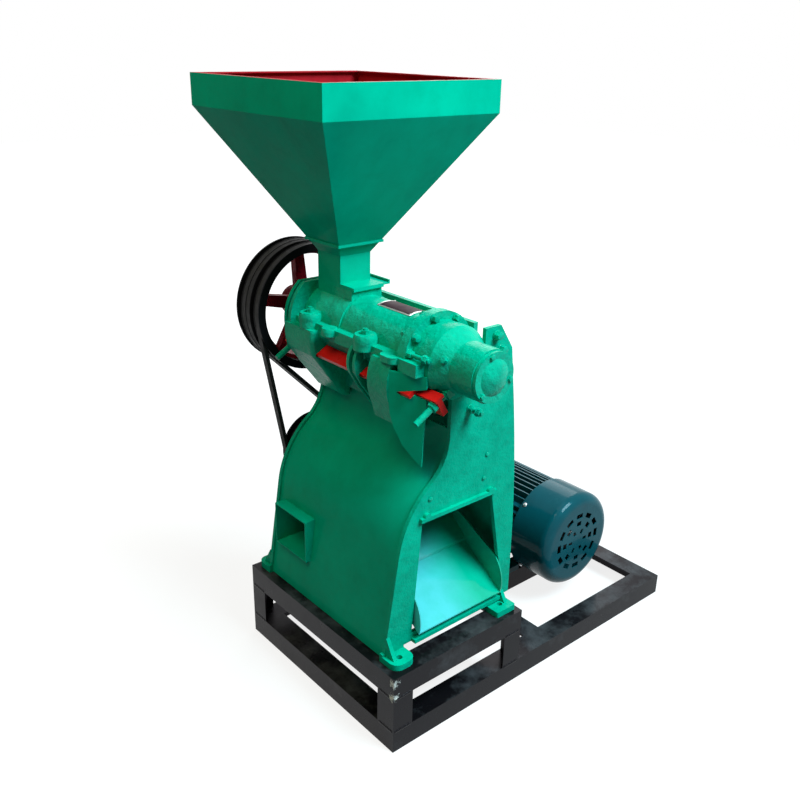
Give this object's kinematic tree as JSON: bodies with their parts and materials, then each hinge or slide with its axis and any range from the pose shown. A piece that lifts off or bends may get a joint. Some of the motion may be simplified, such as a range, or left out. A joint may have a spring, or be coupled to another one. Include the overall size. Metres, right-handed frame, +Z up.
{
  "type": "grain sheller",
  "caption": "Iron-roller grain sheller with square feed hopper, S-curved green body, side blower outlet, bran chute and a belt-driving motor on a black angle-iron base.",
  "frame": {"origin": "middle of the bounding box's underside, on the floor", "axes": "+Z up through the hopper, +Y back along the main shaft towards its pulley, +X right towards the motor"},
  "size_m": [1.025, 0.7524, 1.41],
  "materials": {
    "frame_black": "satin black paint",
    "body_green": "gloss paint over cast iron",
    "sheet_green": "gloss paint over sheet steel",
    "pulley_black": "satin black paint over cast iron",
    "pulley_red": "dark red paint over cast iron",
    "knife_red": "gloss red paint over steel",
    "bright_steel": "bare machined steel",
    "bearing_steel": "ground steel",
    "roller_iron": "bare chilled iron",
    "screen_steel": "bare slotted sheet",
    "core_steel": "stacked laminations",
    "fan_steel": "painted welded steel",
    "belt_rubber": "matt wrapped wedge belt",
    "motor_teal": "gloss paint over cast iron and pressed steel",
    "fan_plastic": "moulded nylon"
  },
  "bodies": {
    "machine": {"base_long_rails": "frame_black", "base_end_rails": "frame_black", "base_cross_rail": "frame_black", "motor_rails": "frame_black", "stand_long_rails": "frame_black", "stand_end_rails": "frame_black", "stand_posts": "frame_black", "front_end_plate": "body_green", "rear_end_plate": "body_green", "upper_cover": "body_green", "lower_casing": "body_green", "discharge_housing": "body_green", "front_bearing_housing": "body_green", "rear_bearing_housing": "body_green", "front_bearing_cap": "body_green", "rear_bearing_cap": "body_green", "blower_bearing_housing": "body_green", "cover_clamps": "body_green", "knife_studs": "body_green", "left_skin": "sheet_green", "right_skin": "sheet_green", "bran_chute": "sheet_green", "bran_baffle": "sheet_green", "side_nozzle": "sheet_green", "blower_housing": "sheet_green", "rice_spout": "sheet_green", "hopper": "sheet_green", "hopper_neck": "sheet_green", "motor_bolts": "bright_steel", "main_bearings": "bearing_steel", "motor_bearings": "bearing_steel", "blower_bearings": "bearing_steel", "rice_screen": "screen_steel", "stator_core": "core_steel", "drive_belts": "belt_rubber", "blower_belt": "belt_rubber", "motor_frame": "motor_teal", "motor_feet": "motor_teal", "drive_end_shield": "motor_teal", "cowl_end_shield": "motor_teal", "fan_cowl": "motor_teal", "cowl_grille": "motor_teal", "terminal_box": "motor_teal", "cable_gland": "fan_plastic"},
    "rotor": {"main_shaft": "bright_steel", "milling_roller": "roller_iron", "feed_screw": "roller_iron", "main_pulley_rim": "pulley_black", "main_pulley_spokes": "pulley_red", "shaft_nut": "bright_steel"},
    "motor_rotor": {"motor_shaft": "bright_steel", "rotor_core": "core_steel", "motor_fan": "fan_plastic", "motor_pulley": "pulley_black"},
    "blower_rotor": {"blower_shaft": "bright_steel", "blower_impeller": "fan_steel", "blower_pulley": "pulley_black"},
    "gate": {"feed_gate": "bright_steel"},
    "knife": {"knife_bar": "knife_red", "knife_brackets": "knife_red"}
  },
  "joints": [
    {"name": "rotor_spin", "type": "hinge", "parent": "machine", "child": "rotor", "pos_m": [-0.2815, 0, 0.868], "axis": [0, 1, 0], "continuous": true},
    {"name": "motor_spin", "type": "hinge", "parent": "machine", "child": "motor_rotor", "pos_m": [0.2975, 0, 0.188], "axis": [0, 1, 0], "continuous": true},
    {"name": "blower_spin", "type": "hinge", "parent": "machine", "child": "blower_rotor", "pos_m": [-0.2815, 0, 0.492], "axis": [0, 1, 0], "continuous": true},
    {"name": "gate_slide", "type": "slide", "parent": "machine", "child": "gate", "axis": [1, 0, 0], "range_m": [0, 0.07]},
    {"name": "knife_slide", "type": "slide", "parent": "machine", "child": "knife", "axis": [0.866, 0, 0.5], "range_m": [-0.002, 0.005]}
  ],
  "couplings": [
    {"joint": "motor_spin", "follows": "rotor_spin", "ratio": 1.7954},
    {"joint": "blower_spin", "follows": "rotor_spin", "ratio": 1.7954}
  ]
}
